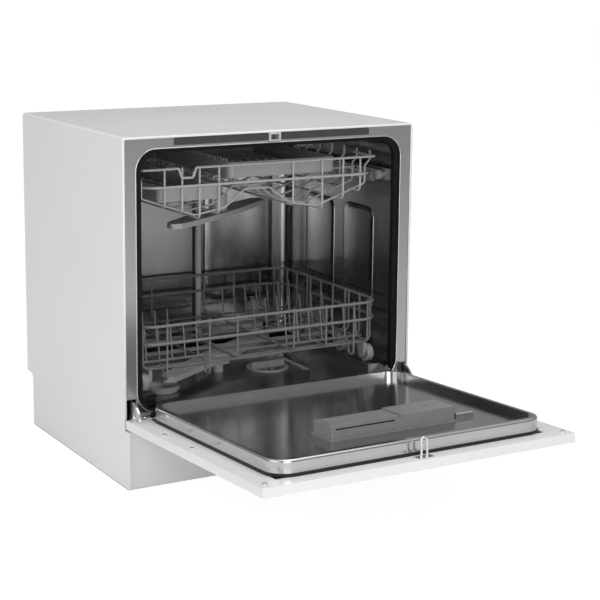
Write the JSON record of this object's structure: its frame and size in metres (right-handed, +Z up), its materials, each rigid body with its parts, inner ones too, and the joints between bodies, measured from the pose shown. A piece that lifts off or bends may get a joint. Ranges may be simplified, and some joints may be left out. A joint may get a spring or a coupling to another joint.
{
  "type": "countertop dishwasher",
  "caption": "Countertop dishwasher with a drop-down door, a stainless tub, pull-out wire racks, cutlery trays, spray arms and a detergent dispenser.",
  "frame": {"origin": "the base's bottom face, midway across the width, straight below the front edge of the upper sides", "axes": "+Z up, +Y from the front to the back, +X to the right as seen from the front"},
  "size_m": [0.55, 0.9057, 0.575],
  "materials": {
    "painted_white": "satin enamel",
    "white_plastic": "smooth",
    "stainless": "bright rolled",
    "zinc_steel": "bright zinc",
    "bright_wire": "polished",
    "seal_rubber": "matt",
    "black_felt": "matt",
    "black_plastic": "satin",
    "dark_trim": "smooth",
    "grey_plastic": "satin",
    "tray_plastic": "satin",
    "wheel_plastic": "satin",
    "dark_wire": "nylon coat",
    "light_wire": "nylon coat",
    "board_green": "resist",
    "pump_grey": "moulded",
    "pale_plastic": "moulded"
  },
  "bodies": {
    "cabinet": {"back_panel": "painted_white", "base_tray": "black_plastic", "cabinet_screws": "zinc_steel", "cable_gland": "black_plastic", "circulation_pump": "pump_grey", "door_gasket": "seal_rubber", "drain_pump": "pump_grey", "drain_spigot": "black_plastic", "feed_pipe": "grey_plastic", "feet": "black_plastic", "filter_plate": "stainless", "front_frame": "stainless", "heater": "pump_grey", "hinge_brackets": "zinc_steel", "hinge_springs": "zinc_steel", "inlet_valve": "black_plastic", "latch_catch": "black_plastic", "outer_wrap": "painted_white", "plinth": "painted_white", "rail_brackets": "wheel_plastic", "salt_cap": "grey_plastic", "salt_container": "pale_plastic", "sump": "pale_plastic", "trim_strip": "dark_trim", "tub": "stainless"},
    "door": {"door_panel": "painted_white", "door_fascia": "white_plastic", "display_window": "dark_trim", "control_board": "board_green", "door_core": "black_felt", "door_liner": "stainless", "detergent_dispenser": "grey_plastic", "door_striker": "bright_wire", "door_screws": "zinc_steel", "hinge_arms": "zinc_steel"},
    "lower_rack": {"lower_rack_frame": "dark_wire", "lower_rack_tines": "dark_wire", "rack_clips": "wheel_plastic"},
    "upper_rack": {"upper_rack_frame": "light_wire", "upper_runners": "zinc_steel", "cutlery_tray_left": "tray_plastic", "cutlery_tray_right": "tray_plastic", "upper_feed_tube": "grey_plastic"},
    "wheel_left_front": {"wheel_left_front": "wheel_plastic"},
    "wheel_left_middle": {"wheel_left_middle": "wheel_plastic"},
    "wheel_left_rear": {"wheel_left_rear": "wheel_plastic"},
    "wheel_right_front": {"wheel_right_front": "wheel_plastic"},
    "wheel_right_middle": {"wheel_right_middle": "wheel_plastic"},
    "wheel_right_rear": {"wheel_right_rear": "wheel_plastic"},
    "roller_left_front": {"roller_left_front": "wheel_plastic"},
    "roller_left_rear": {"roller_left_rear": "wheel_plastic"},
    "roller_right_front": {"roller_right_front": "wheel_plastic"},
    "roller_right_rear": {"roller_right_rear": "wheel_plastic"},
    "power_button": {"power_button": "white_plastic"},
    "programme_button": {"programme_button": "white_plastic"},
    "start_button": {"start_button": "white_plastic"},
    "detergent_lid": {"detergent_lid": "grey_plastic"},
    "lower_spray_arm": {"lower_spray_arm": "grey_plastic"},
    "upper_spray_arm": {"upper_spray_arm": "grey_plastic"},
    "coarse_filter": {"coarse_filter": "grey_plastic"}
  },
  "joints": [
    {"name": "door_hinge", "type": "hinge", "parent": "cabinet", "child": "door", "pos_m": [0, -0.006, 0.115], "axis": [1, 0, 0], "range_deg": [-87, 0]},
    {"name": "lower_rack_slide", "type": "slide", "parent": "cabinet", "child": "lower_rack", "axis": [0, -1, 0], "range_m": [0, 0.33]},
    {"name": "upper_rack_slide", "type": "slide", "parent": "cabinet", "child": "upper_rack", "axis": [0, -1, 0], "range_m": [0, 0.24]},
    {"name": "lower_spray_spin", "type": "hinge", "parent": "cabinet", "child": "lower_spray_arm", "pos_m": [0, 0.205, 0.141], "axis": [0, 0, 1], "continuous": true},
    {"name": "upper_spray_spin", "type": "hinge", "parent": "upper_rack", "child": "upper_spray_arm", "pos_m": [0, 0.205, 0.402], "axis": [0, 0, 1], "continuous": true},
    {"name": "filter_turn", "type": "hinge", "parent": "cabinet", "child": "coarse_filter", "pos_m": [0.092, 0.185, 0.1], "axis": [0, 0, 1], "range_deg": [0, 90]},
    {"name": "lid_slide", "type": "slide", "parent": "door", "child": "detergent_lid", "axis": [1, 0, 0], "range_m": [0, 0.07]},
    {"name": "power_press", "type": "slide", "parent": "door", "child": "power_button", "axis": [0, 0.0523, 0.9986], "range_m": [0, 0.0015], "stiffness_N_per_m": 400, "springref_m": -0.001},
    {"name": "programme_press", "type": "slide", "parent": "door", "child": "programme_button", "axis": [0, 0.0523, 0.9986], "range_m": [0, 0.0015], "stiffness_N_per_m": 400, "springref_m": -0.001},
    {"name": "start_press", "type": "slide", "parent": "door", "child": "start_button", "axis": [0, 0.0523, 0.9986], "range_m": [0, 0.0015], "stiffness_N_per_m": 400, "springref_m": -0.001},
    {"name": "wheel_left_front_spin", "type": "hinge", "parent": "lower_rack", "child": "wheel_left_front", "pos_m": [-0.2195, 0.05, 0.1603], "axis": [1, 0, 0], "continuous": true},
    {"name": "wheel_left_middle_spin", "type": "hinge", "parent": "lower_rack", "child": "wheel_left_middle", "pos_m": [-0.2195, 0.135, 0.1603], "axis": [1, 0, 0], "continuous": true},
    {"name": "wheel_left_rear_spin", "type": "hinge", "parent": "lower_rack", "child": "wheel_left_rear", "pos_m": [-0.2195, 0.273, 0.1603], "axis": [1, 0, 0], "continuous": true},
    {"name": "wheel_right_front_spin", "type": "hinge", "parent": "lower_rack", "child": "wheel_right_front", "pos_m": [0.2195, 0.05, 0.1603], "axis": [1, 0, 0], "continuous": true},
    {"name": "wheel_right_middle_spin", "type": "hinge", "parent": "lower_rack", "child": "wheel_right_middle", "pos_m": [0.2195, 0.135, 0.1603], "axis": [1, 0, 0], "continuous": true},
    {"name": "wheel_right_rear_spin", "type": "hinge", "parent": "lower_rack", "child": "wheel_right_rear", "pos_m": [0.2195, 0.273, 0.1603], "axis": [1, 0, 0], "continuous": true},
    {"name": "roller_left_front_spin", "type": "hinge", "parent": "cabinet", "child": "roller_left_front", "pos_m": [-0.233, 0.046, 0.481], "axis": [1, 0, 0], "continuous": true},
    {"name": "roller_left_rear_spin", "type": "hinge", "parent": "cabinet", "child": "roller_left_rear", "pos_m": [-0.233, 0.118, 0.481], "axis": [1, 0, 0], "continuous": true},
    {"name": "roller_right_front_spin", "type": "hinge", "parent": "cabinet", "child": "roller_right_front", "pos_m": [0.233, 0.046, 0.481], "axis": [1, 0, 0], "continuous": true},
    {"name": "roller_right_rear_spin", "type": "hinge", "parent": "cabinet", "child": "roller_right_rear", "pos_m": [0.233, 0.118, 0.481], "axis": [1, 0, 0], "continuous": true}
  ],
  "couplings": [
    {"joint": "wheel_left_front_spin", "follows": "lower_rack_slide", "rad_per_m": 64.516},
    {"joint": "wheel_left_middle_spin", "follows": "lower_rack_slide", "rad_per_m": 64.516},
    {"joint": "wheel_left_rear_spin", "follows": "lower_rack_slide", "rad_per_m": 64.516},
    {"joint": "wheel_right_front_spin", "follows": "lower_rack_slide", "rad_per_m": 64.516},
    {"joint": "wheel_right_middle_spin", "follows": "lower_rack_slide", "rad_per_m": 64.516},
    {"joint": "wheel_right_rear_spin", "follows": "lower_rack_slide", "rad_per_m": 64.516},
    {"joint": "roller_left_front_spin", "follows": "upper_rack_slide", "rad_per_m": 108.7},
    {"joint": "roller_left_rear_spin", "follows": "upper_rack_slide", "rad_per_m": 108.7},
    {"joint": "roller_right_front_spin", "follows": "upper_rack_slide", "rad_per_m": 108.7},
    {"joint": "roller_right_rear_spin", "follows": "upper_rack_slide", "rad_per_m": 108.7}
  ]
}
